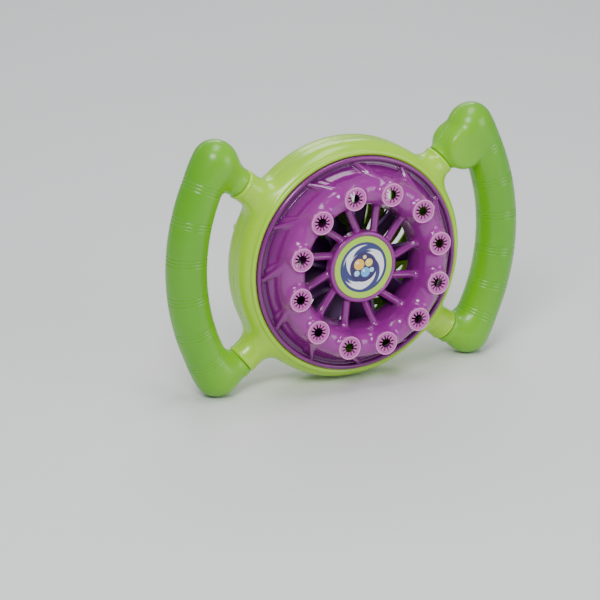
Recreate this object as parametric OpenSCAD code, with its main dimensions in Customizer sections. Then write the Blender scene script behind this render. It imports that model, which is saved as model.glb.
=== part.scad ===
// Hand-held bubble machine shaped like a steering wheel.
// A fan inside a round housing blows air through a ring of bubble nozzles. Two curved
// grips, joined to the housing by four short arms, hold the batteries.
//
// Millimetres. +Z is up, the nozzles face -Y, and the origin is on the fan's axis, in the
// plane of the flat rear face. Parts are drawn in a working frame with the rear face on
// z = 0 and the nozzles towards +z, and upright() turns them into the frame above.

/* [Housing] */
// Radius of the nozzle disc's rim
disc_r = 70; // [69:0.5:71]
// Outer radius of the housing ring
ring_r = 78; // [77.5:0.5:79]
// Depth of the housing, from the rear face to the front bezel
ring_h = 34; // [34:0.5:36]
// Wall thickness of the moulded shells
wall = 2.2; // [2:0.1:2.4]

/* [Nozzles] */
// Number of bubble nozzles, flank ribs and spokes
nozzle_n = 12; // [10:1:12]
// Radius of the circle that the nozzles stand on
nozzle_pitch_r = 50.4; // [50:0.2:51]
// Outer radius of a nozzle
nozzle_r = 7.6; // [7.2:0.1:7.8]
// Angle of the first nozzle above the horizontal
nozzle_phase = 12.9; // [0:0.1:29]
// How far the nozzles stand out in front of the bezel
nozzle_out = 20; // [18:0.5:22]

/* [Handles] */
// Radius of the arc that a grip's centre line follows
grip_arc_r = 133.9; // [132:0.5:136]
// Outermost reach of a grip's centre line from the fan's axis
grip_reach = 110.6; // [110:0.2:112]
// Radius of the grip tube
grip_r = 13.1; // [13:0.1:13.6]
// Half the angle that a grip sweeps
grip_half_angle = 31.5; // [31:0.5:32]
// Height of the grips' middle above the fan's axis
grip_rise = 5; // [3:0.5:6]
// Angle of the arms above and below the horizontal
arm_angle = 38.5; // [38:0.5:39]

/* [Fan] */
// Number of fan blades
blade_n = 9; // [7:1:11]
// Tip radius of the fan
fan_r = 55; // [50:1:56]

/* [Rear grille] */
// Number of curved air slots in the rear cover
slot_n = 22; // [16:1:24]
// Width of an air slot
slot_w = 3.6; // [3:0.2:4]

/* [Hidden] */
$fn = 64;
lap = 0.01;
split_z = ring_h / 2;

// Housing
edge_r = 12;
flat_r = ring_r - edge_r;
bezel_r = disc_r + 0.3;
bezel_bead_r = 1.4;
ledge_z = ring_h - 5;
ledge_t = 2;
ledge_in_r = 58.5;
post_r = 4.3;
post_ring_r = 70.5;
cover_screw_angles = [20, 90, 160, 200, 270, 340];
pilot_r = 1.3;
clear_r = 1.7;
recess_r = 3.3;
recess_z = 9;

// Rear grille
grille_in_r = 24;
grille_out_r = 55;
slot_arc_r = 36;
slot_centre_r = 30;

// Motor and fan
motor_r = 10;
motor_flat = 15.2;
motor_z0 = 5.6;
motor_z1 = 28.5;
bush_r = 3;
bush_z = 30;
shaft_r = 1;
cradle_in_r = motor_r + 0.3;
cradle_out_r = 12.6;
cradle_z = 12;
clamp_t = 2;
clamp_ear_x = 17;
fan_cup_r = 16;
fan_cup_z0 = 20.5;
fan_cap_z0 = 30.6;
fan_z1 = 33;
blade_tilt = 38;
blade_t = 1.4;

// Nozzle disc
disc_z = ledge_z + ledge_t;
flange_t = 2;
flange_z = disc_z + flange_t;
lip_w = 2.9;
band_r = 8.8;
band_z = disc_z + 11;
face_z = ring_h + nozzle_out;
tip_t = 1.6;
nozzle_bore_r = 6;
groove_in_r = disc_r - 4.4;
flank_in_r = nozzle_pitch_r + band_r;
bowl_top_r = nozzle_pitch_r - band_r;
bowl_low_r = bowl_top_r - 3.1;
skin = 2;
hub_r = 23.2;
hub_z = band_z + 1.5;
hub_low_z = disc_z + 5;
spoke_z0 = hub_low_z + 0.6;
spoke_z1 = band_z - 1;
badge_r = 20.3;
rib_rise = [16.3, 9];
spoke_sweep = [1.5, -8.5];
disc_screw_r = 61;
disc_screw_n = 6;

// Arms, collars and handles
collar_r = 10;
collar_in_r = 8;
collar_end = 94;
switch_collar_end = 88;
arm_in_r = 4;
spigot_r = 7.9;
arm_r = 9.4;
bulb_r = 14;
grip_cx = grip_reach - grip_arc_r;
bulb_x = grip_cx + grip_arc_r * cos(grip_half_angle);
bulb_dz = grip_arc_r * sin(grip_half_angle);
grip_wall = 2;
pod_x = 82;
pod_y = 62;
pod_r = 14;
pod_edge = 5;
handle_screw_recess_z = 10;

// Battery bay, in degrees along the grip's arc and millimetres
door_a0 = -28;
door_a1 = 23;
door_z = split_z - 7;
door_gap = 0.2;
door_screw_angle = -25.7;
door_boss_r = 4.2;
door_boss_z = 9;
door_screw_z = 4.6;
cell_r = 7.2;
cell_l = 48.5;
cell_nub_r = 2.6;
cell_nub_h = 1.2;
cell_angle = 11.9;
cell_arc_r = grip_arc_r - 1;
plate_angle = 23.3;
plate_w = 12;
plate_t = 0.5;
coil_r = 3;
coil_wire_r = 0.4;

// Button, return spring and switch, measured along the working frame's z
button_r = 7;
button_z = 1.4;
button_flange_z = split_z - grip_r + grip_wall + 0.4;
button_gap = 0.15;
stem_r = 1.6;
stem_z = 11;
spring_r = 4;
switch_w = 9;
switch_z = 13;
board_z = 19;
board_t = 1.2;
board_w = 17;
board_screw_x = 6.6;

// Wires
wire_r = 0.8;
bore_x = disc_r * cos(arm_angle);
bore_y = disc_r * sin(arm_angle);
floor_wire_z = wall + 2.1;
board_wire_z = board_z + board_t + wire_r;
plate_lug = [95.6, 57.4, split_z];
link_r = 64;
link_z = 6;
bend_l = 5;

// ---------- Helpers ----------

// Turns the working frame (rear face down) into the part's own frame (nozzles facing -Y).
module upright() {
    rotate([90, 0, 0]) children();
}

// Copies a child made for the right-hand side onto the side given by s, 1 or -1.
module side(s) {
    if (s > 0) children();
    else mirror([1, 0, 0]) children();
}

// Places children at radius r and angle a about the fan's axis.
module polar(a, r) {
    rotate([0, 0, a]) translate([r, 0, 0]) children();
}

// Round bar between two points.
module rod(p, q, r) {
    d = q - p;
    l = norm(d);
    translate(p) rotate([0, acos(d[2] / l), atan2(d[1], d[0])]) cylinder(h = l, r = r);
}

function unit(v) = v / norm(v);

// Point at t, 0 to 1, of the rounded bend that takes the place of corner i of a route.
function bend(route, i, t) =
    let (p = route[i], back = route[i - 1] - p, on = route[i + 1] - p)
    let (a = p + unit(back) * min(bend_l, 0.4 * norm(back)), b = p + unit(on) * min(bend_l, 0.4 * norm(on)))
    (1 - t) * (1 - t) * a + 2 * t * (1 - t) * p + t * t * b;

function rounded(route) = concat(
    [route[0]],
    [for (i = [1 : len(route) - 2], k = [0 : 3]) bend(route, i, k / 3)],
    [route[len(route) - 1]]
);

function heading(path, i) = unit(path[min(i + 1, len(path) - 1)] - path[max(i - 1, 0)]);

// Direction u, turned as little as makes it square to direction t.
function squared(u, t) = unit(u - (u * t) * t);

// Eight-sided wire along a route of points, with its bends rounded.
module wire(route) {
    path = rounded(route);
    n = len(path);
    sides = [
        for (i = 0, u = squared([0.3, 0.2, 1], heading(path, 0)); i < n;
            i = i + 1, u = squared(u, heading(path, min(i, n - 1)))) u
    ];
    polyhedron(
        points = [for (i = [0 : n - 1], k = [0 : 7])
            path[i] + wire_r * (cos(k * 45) * sides[i] + sin(k * 45) * cross(heading(path, i), sides[i]))],
        faces = concat(
            [[for (k = [7 : -1 : 0]) k], [for (k = [0 : 7]) (n - 1) * 8 + k]],
            [for (i = [0 : n - 2], k = [0 : 7]) [i * 8 + k, i * 8 + (k + 1) % 8, (i + 1) * 8 + k]],
            [for (i = [0 : n - 2], k = [0 : 7])
                [i * 8 + (k + 1) % 8, (i + 1) * 8 + (k + 1) % 8, (i + 1) * 8 + k]]
        )
    );
}

// Pan-head screw: the shank's tip is at z0 and the head's top at z1, along the axis dir.
module screw(z0, z1, shank_r, head_r, head_t, drive_up = false) {
    head_z = drive_up ? z1 - head_t : z0;
    drive_z = drive_up ? z1 - 0.9 : z0 - lap;
    difference() {
        union() {
            translate([0, 0, z0]) cylinder(h = z1 - z0, r = shank_r);
            translate([0, 0, head_z]) cylinder(h = head_t, r = head_r);
        }
        for (a = [0, 90]) rotate([0, 0, a])
            translate([-head_r * 0.62, -0.45, drive_z]) cube([head_r * 1.24, 0.9, 0.9 + lap]);
    }
}

// Half spaces in front of and behind the split plane.
module front_half() {
    translate([-200, -200, split_z]) cube([400, 400, 60]);
}

module rear_half() {
    translate([-200, -200, split_z - 60]) cube([400, 400, 60]);
}

// ---------- Housing ----------

// Side of the housing as a filled profile: flat at the back, rounded at both edges.
module housing_profile(inset) {
    r = edge_r - inset;
    translate([0, inset]) square([flat_r, ring_h - 2 * inset]);
    translate([0, edge_r]) square([ring_r - inset, ring_h - 2 * edge_r]);
    translate([flat_r, edge_r]) circle(r = r);
    translate([flat_r, ring_h - edge_r]) circle(r = r);
}

// Arm bores and collars, at the angles of the four arms.
module at_arms() {
    for (s = [1, -1], t = [1, -1]) side(s) mirror([0, t > 0 ? 0 : 1, 0])
        rotate([0, 0, arm_angle]) {
            $collar_end = (s > 0 && t > 0) ? switch_collar_end : collar_end;
            children();
        }
}

module collar_tube(r, from, to) {
    translate([from, 0, split_z]) rotate([0, 90, 0]) cylinder(h = to - from, r = r);
}

module collars() {
    at_arms() {
        collar_tube(collar_r, disc_r + 4, $collar_end - 1);
        collar_tube(collar_r - 0.8, disc_r + 4, $collar_end);
        collar_tube(collar_r + 1.2, disc_r + 4, ring_r + 1.6);
    }
}

module collar_bores() {
    at_arms() collar_tube(collar_in_r, disc_r, collar_end + 5);
}

// Where a swirl slot's arc, centred slot_centre_r off the axis, is at distance r from it.
function slot_end(r) =
    acos((r * r - slot_centre_r * slot_centre_r - slot_arc_r * slot_arc_r)
        / (2 * slot_centre_r * slot_arc_r));

// A curved slot that swirls from the hub of the grille out to its edge.
module air_slot() {
    a0 = slot_end(grille_out_r);
    a1 = slot_end(grille_in_r + slot_w / 2);
    translate([slot_centre_r, 0, -1]) mirror([0, 1, 0]) rotate([0, 0, a0])
        rotate_extrude(angle = a1 - a0)
            translate([slot_arc_r - slot_w / 2, 0]) square([slot_w, wall + 2]);
}

module rear_cover() {
    color([0.62, 0.82, 0.25]) upright() difference() {
        union() {
            difference() {
                intersection() {
                    union() {
                        rotate_extrude() housing_profile(0);
                        collars();
                    }
                    rear_half();
                }
                rotate_extrude() housing_profile(wall);
            }
            for (a = cover_screw_angles) polar(a, post_ring_r)
                translate([0, 0, wall]) cylinder(h = split_z - wall, r = post_r);
            translate([0, 0, wall - lap]) difference() {
                cylinder(h = cradle_z - wall, r = cradle_out_r);
                translate([0, 0, -1]) cylinder(h = cradle_z, r = cradle_in_r);
                for (s = [1, -1]) translate([s * cradle_out_r, 0, 2])
                    cube([8, 5, 8], center = true);
            }
            for (s = [1, -1]) translate([0, s * clamp_ear_x, wall - lap])
                cylinder(h = cradle_z - wall, r = 3);
        }
        collar_bores();
        for (i = [0 : slot_n - 1]) rotate([0, 0, i * 360 / slot_n]) air_slot();
        for (a = cover_screw_angles) polar(a, post_ring_r) {
            translate([0, 0, -1]) cylinder(h = recess_z + 1, r = recess_r);
            cylinder(h = ring_h, r = clear_r);
        }
        for (s = [1, -1]) translate([0, s * clamp_ear_x, wall + 2])
            cylinder(h = cradle_z, r = 1.1);
    }
}

module front_ring() {
    color([0.66, 0.86, 0.30]) upright() difference() {
        union() {
            difference() {
                intersection() {
                    union() {
                        rotate_extrude() housing_profile(0);
                        collars();
                    }
                    front_half();
                }
                intersection() {
                    rotate_extrude() housing_profile(wall);
                    cylinder(h = ledge_z, r = ring_r);
                }
                translate([0, 0, ledge_z - lap]) cylinder(h = ring_h, r = ledge_in_r);
                translate([0, 0, disc_z]) cylinder(h = ring_h, r = bezel_r);
            }
            for (a = cover_screw_angles) polar(a, post_ring_r)
                translate([0, 0, split_z]) cylinder(h = ledge_z - split_z + lap, r = post_r);
            rotate_extrude() translate([bezel_r + bezel_bead_r, ring_h - bezel_bead_r])
                circle(r = bezel_bead_r);
        }
        collar_bores();
        for (a = cover_screw_angles) polar(a, post_ring_r)
            translate([0, 0, split_z - 1]) cylinder(h = 11, r = pilot_r);
        for (i = [0 : disc_screw_n - 1]) polar(nozzle_phase + i * 360 / disc_screw_n, disc_screw_r)
            translate([0, 0, ledge_z - 1]) cylinder(h = ledge_t + 2, r = 1.3);
    }
}

module cover_screws() {
    color([0.75, 0.76, 0.78]) upright() for (a = cover_screw_angles) polar(a, post_ring_r)
        screw(recess_z - 2, split_z + 9, pilot_r, 2.8, 2);
}

// ---------- Nozzle disc ----------

module at_nozzles() {
    for (i = [0 : nozzle_n - 1]) rotate([0, 0, nozzle_phase + i * 360 / nozzle_n]) children();
}

// Outer shape of the disc's raised crown, from the flank over the nozzle band to the bowl.
module crown_profile() {
    polygon([
        [bowl_low_r, flange_z], [bowl_top_r, band_z], [flank_in_r, band_z],
        [groove_in_r, flange_z - lap]
    ]);
    translate([nozzle_pitch_r, band_z]) circle(r = band_r);
}

module crown_hollow() {
    polygon([
        [bowl_low_r + skin, disc_z - 1], [bowl_top_r + skin, band_z],
        [flank_in_r - skin, band_z], [groove_in_r - skin - 0.4, flange_z],
        [groove_in_r - skin - 0.4, disc_z - 1]
    ]);
    translate([nozzle_pitch_r, band_z]) circle(r = band_r - skin);
}

module disc_profile() {
    difference() {
        union() {
            crown_profile();
            translate([groove_in_r - skin - 0.5, disc_z])
                square([disc_r - groove_in_r + skin + 0.5, flange_t]);
            translate([disc_r - lip_w, disc_z]) square([lip_w, 3.2]);
            translate([disc_r - lip_w / 2, disc_z + 3.2]) circle(r = lip_w / 2);
        }
        crown_hollow();
    }
}

// Direction at angle a, r from the axis and z up.
function at(a, r, z) = [r * cos(a), r * sin(a), z];

module spoke() {
    p = at(spoke_sweep[0], bowl_top_r + 0.8, 0);
    q = at(spoke_sweep[1], hub_r - 1, 0);
    l = norm(q - p);
    a = atan2(q[1] - p[1], q[0] - p[0]);
    translate([p[0], p[1], spoke_z0]) rotate([0, 0, a])
        translate([0, -2.2, 0]) cube([l, 4.4, spoke_z1 - spoke_z0]);
}

module nozzle_disc() {
    color([0.60, 0.22, 0.62]) upright() difference() {
        union() {
            rotate_extrude() disc_profile();
            at_nozzles() {
                difference() {
                    polar(0, nozzle_pitch_r) translate([0, 0, band_z])
                        cylinder(h = face_z - tip_t - band_z, r = nozzle_r);
                    rotate_extrude() translate([nozzle_pitch_r, band_z])
                        circle(r = band_r - skin);
                }
                rod(at(rib_rise[0], groove_in_r - 0.6, flange_z + 0.3),
                    at(rib_rise[1], flank_in_r - 0.4, band_z - 0.2), 1.2);
                spoke();
            }
            translate([0, 0, hub_low_z]) difference() {
                cylinder(h = hub_z - hub_low_z, r = hub_r);
                translate([0, 0, -1]) cylinder(h = 1 + hub_z - hub_low_z - 3.2, r = badge_r);
            }
            for (i = [0 : disc_screw_n - 1])
                polar(nozzle_phase + i * 360 / disc_screw_n, disc_screw_r)
                    translate([0, 0, disc_z + 0.4]) cylinder(h = 3.8, r = 2.7);
        }
        at_nozzles() polar(0, nozzle_pitch_r)
            translate([0, 0, band_z]) cylinder(h = 20, r = nozzle_bore_r);
        translate([0, 0, hub_z - 1.2]) cylinder(h = 5, r = badge_r + 0.1);
        for (i = [0 : disc_screw_n - 1])
            polar(nozzle_phase + i * 360 / disc_screw_n, disc_screw_r)
                translate([0, 0, disc_z - 1]) cylinder(h = 4.6, r = 1.1);
    }
}

// Star-shaped opening: a round hole with radial slots that hold the soap film.
module star(h) {
    cylinder(h = h, r = 2.3);
    for (k = [0 : 11]) rotate([0, 0, k * 30]) translate([0, -0.4, 0]) cube([4.7, 0.8, h]);
}

module nozzle_tips() {
    color([0.86, 0.56, 0.82]) upright() at_nozzles() polar(0, nozzle_pitch_r) difference() {
        union() {
            translate([0, 0, face_z - tip_t]) cylinder(h = tip_t, r = nozzle_r);
            translate([0, 0, face_z - tip_t - 3]) cylinder(h = 3, r = nozzle_bore_r - 0.05);
        }
        translate([0, 0, face_z - 5]) cylinder(h = 5 - tip_t, r = 5);
        translate([0, 0, face_z - tip_t - 1]) star(tip_t + 2);
    }
}

module hub_badge() {
    color([0.25, 0.20, 0.50]) upright() translate([0, 0, hub_z - 1.2]) cylinder(h = 0.9, r = badge_r);
}

module disc_screws() {
    color([0.75, 0.76, 0.78]) upright() for (i = [0 : disc_screw_n - 1])
        polar(nozzle_phase + i * 360 / disc_screw_n, disc_screw_r)
            screw(ledge_z - 1.8, disc_z + 3.2, 1.1, 2.2, 1.8);
}

// ---------- Fan and motor ----------

module fan_impeller() {
    color([0.42, 0.16, 0.48]) upright() difference() {
        union() {
            translate([0, 0, fan_cup_z0]) cylinder(h = fan_z1 - fan_cup_z0, r = fan_cup_r);
            intersection() {
                for (i = [0 : blade_n - 1]) rotate([0, 0, i * 360 / blade_n])
                    translate([fan_cup_r - 2, 0, (fan_cup_z0 + fan_z1) / 2])
                        rotate([blade_tilt, 0, 0]) translate([0, -10, -blade_t / 2])
                            cube([fan_r, 20, blade_t]);
                translate([0, 0, fan_cup_z0 + 0.5]) difference() {
                    cylinder(h = fan_z1 - fan_cup_z0 - 1, r = fan_r);
                    translate([0, 0, -1]) cylinder(h = 20, r = fan_cup_r - 1);
                }
            }
        }
        translate([0, 0, fan_cup_z0 - 1]) cylinder(h = fan_cap_z0 - fan_cup_z0 + 1, r = fan_cup_r - 1.8);
        translate([0, 0, fan_cap_z0 - 1]) cylinder(h = 8, r = shaft_r);
    }
}

module motor_shaft() {
    color([0.80, 0.80, 0.82]) upright() translate([0, 0, motor_z0 - 1.6])
        cylinder(h = fan_z1 - motor_z0 + 1.6, r = shaft_r);
}

module motor_outline(z0, z1) {
    intersection() {
        translate([0, 0, z0]) cylinder(h = z1 - z0, r = motor_r);
        translate([-motor_r, -motor_flat / 2, z0]) cube([2 * motor_r, motor_flat, z1 - z0]);
    }
}

module motor_can() {
    color([0.72, 0.73, 0.75]) upright() difference() {
        union() {
            motor_outline(motor_z0, motor_z1);
            translate([0, 0, motor_z1 - lap]) cylinder(h = bush_z - motor_z1 + lap, r = bush_r);
        }
        translate([0, 0, motor_z0 - 1]) cylinder(h = 40, r = shaft_r + 0.05);
    }
}

module motor_end_cap() {
    color([0.92, 0.92, 0.90]) upright() difference() {
        motor_outline(wall + 0.2, motor_z0);
        translate([0, 0, motor_z0 - 2]) cylinder(h = 3, r = shaft_r + 0.05);
        for (s = [1, -1]) translate([s * 9.5, 0, wall + 1.8]) cube([3, 3, 4], center = true);
    }
}

module motor_terminals() {
    color([0.80, 0.62, 0.25]) upright() for (s = [1, -1])
        translate([s * 9.4, 0, wall + 2.1]) cube([2.4, 2.6, 0.5], center = true);
}

module motor_capacitor() {
    color([0.80, 0.55, 0.20]) upright() translate([0, motor_flat / 2 + 0.1, motor_z0 + 12])
        rotate([-90, 0, 0]) cylinder(h = 2, r = 3);
}

module motor_clamp() {
    color([0.20, 0.20, 0.22]) upright() difference() {
        union() {
            translate([0, 0, cradle_z]) cylinder(h = clamp_t, r = cradle_out_r);
            for (s = [1, -1]) {
                translate([0, s * clamp_ear_x, cradle_z]) cylinder(h = clamp_t, r = 3);
                translate([-3, s > 0 ? 9 : -clamp_ear_x, cradle_z]) cube([6, clamp_ear_x - 9, clamp_t]);
            }
        }
        translate([0, 0, 0.05]) motor_outline(cradle_z - 1, cradle_z + clamp_t + 1);
        for (s = [1, -1]) translate([0, s * clamp_ear_x, cradle_z - 1])
            cylinder(h = clamp_t + 2, r = 1.4);
    }
}

module motor_screws() {
    color([0.75, 0.76, 0.78]) upright() for (s = [1, -1]) translate([0, s * clamp_ear_x, 0])
        screw(cradle_z - 6, cradle_z + clamp_t + 1.6, 1.1, 2.4, 1.6, true);
}

// ---------- Handles ----------

// Children are drawn in the grip's own frame, whose origin is the centre of its arc.
module grip_frame() {
    translate([grip_cx, grip_rise, split_z]) children();
}

// Part of the grip's tube, of radius r, between two angles of its arc.
module grip_tube(r, a0, a1) {
    rotate([0, 0, a0]) rotate_extrude(angle = a1 - a0, $fn = 96)
        translate([grip_arc_r, 0]) circle(r = r);
}

// Centre of the ball at the end of a grip, top (t = 1) or bottom (t = -1).
function bulb(t) = [bulb_x, grip_rise + t * bulb_dz, split_z];

// Point on an arm's axis, at distance d from the fan's axis.
function arm_point(t, d) = [d * cos(arm_angle), t * d * sin(arm_angle), split_z];

module pod_solid(inset) {
    h = 2 * grip_r - 2 * inset;
    r = pod_edge - inset;
    translate([pod_x, pod_y, split_z - h / 2]) rotate_extrude() {
        square([pod_r - pod_edge, h]);
        translate([0, r]) square([pod_r - inset, h - 2 * r]);
        for (z = [r, h - r]) translate([pod_r - pod_edge, z]) circle(r = r);
    }
}

// Outer shape of the right-hand handle; the pod carries the switch.
module handle_solid(pod) {
    grip_frame() grip_tube(grip_r, -grip_half_angle, grip_half_angle);
    for (t = [1, -1]) {
        end = (pod && t > 0) ? switch_collar_end : collar_end;
        translate(bulb(t)) sphere(r = bulb_r);
        rod(arm_point(t, end + 2.5), bulb(t), arm_r);
        rod(arm_point(t, end + 0.4), arm_point(t, end + 4), arm_r + 0.3);
        rod(arm_point(t, disc_r + 2.6), arm_point(t, end + 2), spigot_r);
        rod(arm_point(t, disc_r + 2.6), arm_point(t, disc_r + 4.6), spigot_r + 1.3);
    }
    if (pod) pod_solid(0);
}

module handle_hollow(pod) {
    grip_frame() grip_tube(grip_r - grip_wall, -grip_half_angle, grip_half_angle);
    for (t = [1, -1]) {
        translate(bulb(t)) sphere(r = bulb_r - grip_wall);
        rod(arm_point(t, disc_r), bulb(t), arm_in_r);
    }
    if (pod) pod_solid(grip_wall);
}

module at_handle_screws() {
    for (t = [1, -1]) translate([bulb_x + 1, grip_rise + t * bulb_dz, 0]) children();
}

module at_door_screw() {
    grip_frame() rotate([0, 0, door_screw_angle]) translate([grip_arc_r, 0, -split_z]) children();
}

module handle_front(pod) {
    difference() {
        union() {
            difference() {
                handle_solid(pod);
                handle_hollow(pod);
                rear_half();
            }
            at_handle_screws() translate([0, 0, split_z]) cylinder(h = bulb_r - 1.5, r = 3.2);
            at_door_screw() translate([0, 0, door_boss_z + 0.3])
                cylinder(h = split_z + grip_r - door_boss_z - 1.3, r = 3);
            if (pod) for (x = [-board_screw_x, board_screw_x])
                translate([pod_x + x, pod_y, board_z + board_t])
                    cylinder(h = split_z + grip_r - board_z - 2.2, r = 1.9);
        }
        at_handle_screws() translate([0, 0, split_z - 1]) cylinder(h = 10, r = pilot_r);
        at_door_screw() cylinder(h = split_z + 1, r = 1.25);
        if (pod) for (x = [-board_screw_x, board_screw_x]) translate([pod_x + x, pod_y, board_z])
            cylinder(h = 7, r = 1);
    }
}

// Rear sector of the grip that the battery door fills, grown all round by g.
module door_region(g) {
    ga = g / grip_arc_r * 180 / PI;
    grip_frame() rotate([0, 0, door_a0 - ga])
        rotate_extrude(angle = door_a1 - door_a0 + 2 * ga, $fn = 96)
            translate([grip_arc_r - 16, -20]) square([32, door_z - split_z + 20 + g]);
}

module handle_rear(pod) {
    difference() {
        union() {
            difference() {
                handle_solid(pod);
                handle_hollow(pod);
            }
            at_handle_screws() translate([0, 0, split_z - 12]) cylinder(h = 12, r = 4.3);
        }
        front_half();
        door_region(door_gap);
        at_handle_screws() {
            translate([0, 0, -5]) cylinder(h = handle_screw_recess_z + 5, r = recess_r);
            cylinder(h = 30, r = clear_r);
        }
        if (pod) translate([pod_x, pod_y, -5]) cylinder(h = 5 + split_z, r = button_r + button_gap);
    }
}

module battery_door(s) {
    upright() side(s) difference() {
        union() {
            intersection() {
                grip_frame() difference() {
                    grip_tube(grip_r, -grip_half_angle, grip_half_angle);
                    grip_tube(grip_r - grip_wall, -grip_half_angle, grip_half_angle);
                }
                door_region(0);
            }
            at_door_screw() translate([0, 0, door_screw_z])
                cylinder(h = door_boss_z - door_screw_z, r = door_boss_r);
        }
        at_door_screw() {
            cylinder(h = 30, r = 1.5);
            translate([0, 0, -5]) cylinder(h = 5 + door_screw_z + 1.8, r = 2.9);
        }
    }
}

module left_handle_front() {
    color([0.49, 0.75, 0.20]) upright() side(-1) handle_front(false);
}

module right_handle_front() {
    color([0.49, 0.75, 0.20]) upright() side(1) handle_front(true);
}

module left_handle_rear() {
    color([0.49, 0.75, 0.20]) upright() side(-1) handle_rear(false);
}

module right_handle_rear() {
    color([0.49, 0.75, 0.20]) upright() side(1) handle_rear(true);
}

module handle_screws() {
    color([0.75, 0.76, 0.78]) upright() for (s = [1, -1]) side(s) at_handle_screws()
        screw(handle_screw_recess_z - 2, split_z + 8, pilot_r, 2.8, 2);
}

module left_battery_door() {
    color([0.49, 0.75, 0.20]) battery_door(-1);
}

module right_battery_door() {
    color([0.49, 0.75, 0.20]) battery_door(1);
}

module door_screw(s) {
    color([0.75, 0.76, 0.78]) upright() side(s) at_door_screw() screw(door_screw_z, split_z, 1.2, 2.6, 1.8);
}

module left_door_screw() {
    door_screw(-1);
}

module right_door_screw() {
    door_screw(1);
}

// ---------- Batteries and contacts ----------

// Places children, drawn along +y, on both grips' centre lines at angle a.
module in_grips(a, r = grip_arc_r) {
    upright() for (s = [1, -1]) side(s) grip_frame() rotate([0, 0, a]) translate([r, 0, 0]) children();
}

module along_grip(from, to, r) {
    translate([0, from, 0]) rotate([-90, 0, 0]) cylinder(h = to - from, r = r);
}

module battery_cells() {
    color([0.16, 0.17, 0.20]) for (a = [-cell_angle, cell_angle]) in_grips(a, cell_arc_r) {
        along_grip(-cell_l / 2, cell_l / 2, cell_r);
        along_grip(0, cell_l / 2 + cell_nub_h, cell_nub_r);
    }
}

// End plates of the battery bays, and the stud that joins the two cells of a grip.
module cell_contacts() {
    color([0.85, 0.82, 0.72]) {
        for (a = [-plate_angle, plate_angle]) in_grips(a)
            cube([plate_w, plate_t, plate_w], center = true);
        in_grips(0, cell_arc_r) along_grip(-1.85, 2.5, cell_nub_r);
    }
}

// Coil springs that press on the lower cells, drawn as stacked turns.
module cell_springs() {
    color([0.80, 0.80, 0.82]) in_grips(-plate_angle) {
        for (k = [0 : 1]) translate([0, plate_t / 2 + coil_wire_r + k * 0.55, 0]) rotate([90, 0, 0])
            rotate_extrude() translate([coil_r - k * 0.4, 0]) circle(r = coil_wire_r, $fn = 16);
    }
}

// ---------- Button and switch ----------

module at_pod() {
    upright() translate([pod_x, pod_y, 0]) children();
}

module power_button() {
    dome_r = 24;
    color([0.72, 0.30, 0.66]) at_pod() {
        intersection() {
            translate([0, 0, button_z]) cylinder(h = button_flange_z - button_z + 0.5, r = button_r);
            translate([0, 0, button_z + dome_r]) sphere(r = dome_r, $fn = 96);
        }
        translate([0, 0, button_flange_z]) cylinder(h = 1.2, r = button_r + 1.2);
        translate([0, 0, button_flange_z]) cylinder(h = stem_z - button_flange_z, r = stem_r);
    }
}

module button_spring() {
    z0 = button_flange_z + 1.2;
    turns = 5;
    pitch = (switch_z - z0 - 2 * coil_wire_r) / (turns - 1);
    color([0.80, 0.80, 0.82]) at_pod() {
        for (k = [0 : turns - 1]) translate([0, 0, z0 + coil_wire_r + k * pitch])
            rotate_extrude() translate([spring_r, 0]) circle(r = coil_wire_r, $fn = 16);
        translate([spring_r, 0, z0 + coil_wire_r])
            cylinder(h = (turns - 1) * pitch, r = coil_wire_r * 0.8, $fn = 16);
    }
}

module switch_plunger() {
    color([0.92, 0.92, 0.90]) at_pod() translate([0, 0, stem_z]) cylinder(h = 3.4, r = 1.2);
}

module switch_body() {
    color([0.14, 0.14, 0.15]) at_pod() difference() {
        translate([-switch_w / 2, -switch_w / 2, switch_z]) cube([switch_w, switch_w, board_z - switch_z]);
        translate([0, 0, switch_z - 1]) cylinder(h = 5, r = 1.35);
    }
}

module switch_board() {
    color([0.16, 0.42, 0.22]) at_pod() difference() {
        translate([-board_w / 2, -5.5, board_z]) cube([board_w, 11, board_t]);
        for (x = [-board_screw_x, board_screw_x]) translate([x, 0, board_z - 1]) cylinder(h = 4, r = 1.2);
    }
}

module switch_screws() {
    color([0.75, 0.76, 0.78]) at_pod() for (x = [-board_screw_x, board_screw_x]) translate([x, 0, 0])
        screw(board_z - 1.3, board_z + board_t + 5, 1, 1.8, 1.3);
}

// ---------- Wires ----------

// Point on the line of the bore through an upper arm, at distance x from the middle.
function in_bore(x) = [
    x, bore_y + (x - bore_x) * (bulb_dz + grip_rise - bore_y) / (bulb_x - bore_x), split_z
];

// From an upper arm down to the motor's terminal.
floor_route = [
    [bore_x, bore_y, split_z], [44, 29, floor_wire_z], [20, 0, floor_wire_z],
    [motor_r + 0.6, 0, floor_wire_z]
];

module battery_lead() {
    color([0.75, 0.10, 0.10]) upright() side(-1)
        wire(concat([plate_lug, [91, 66.5, split_z], in_bore(82)], floor_route));
}

module motor_lead() {
    color([0.12, 0.12, 0.13]) upright() wire(concat([
        [82, 65.4, board_wire_z], [75, 65.6, board_wire_z], [72.4, 63.5, board_wire_z - 0.5], in_bore(71.5)
    ], floor_route));
}

module switch_lead() {
    color([0.75, 0.10, 0.10]) upright()
        wire([plate_lug, [92, 57.8, board_wire_z + 0.8], [84, 58.6, board_wire_z]]);
}

// Half of the lead that joins the two grips, and its run round the bottom of the housing.
link_half = [
    [95.6, -47.4, split_z], [92.9, -51.5, split_z], [91, -57.5, split_z], [84, -60.9, split_z],
    [bore_x, -bore_y, split_z]
];

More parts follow.
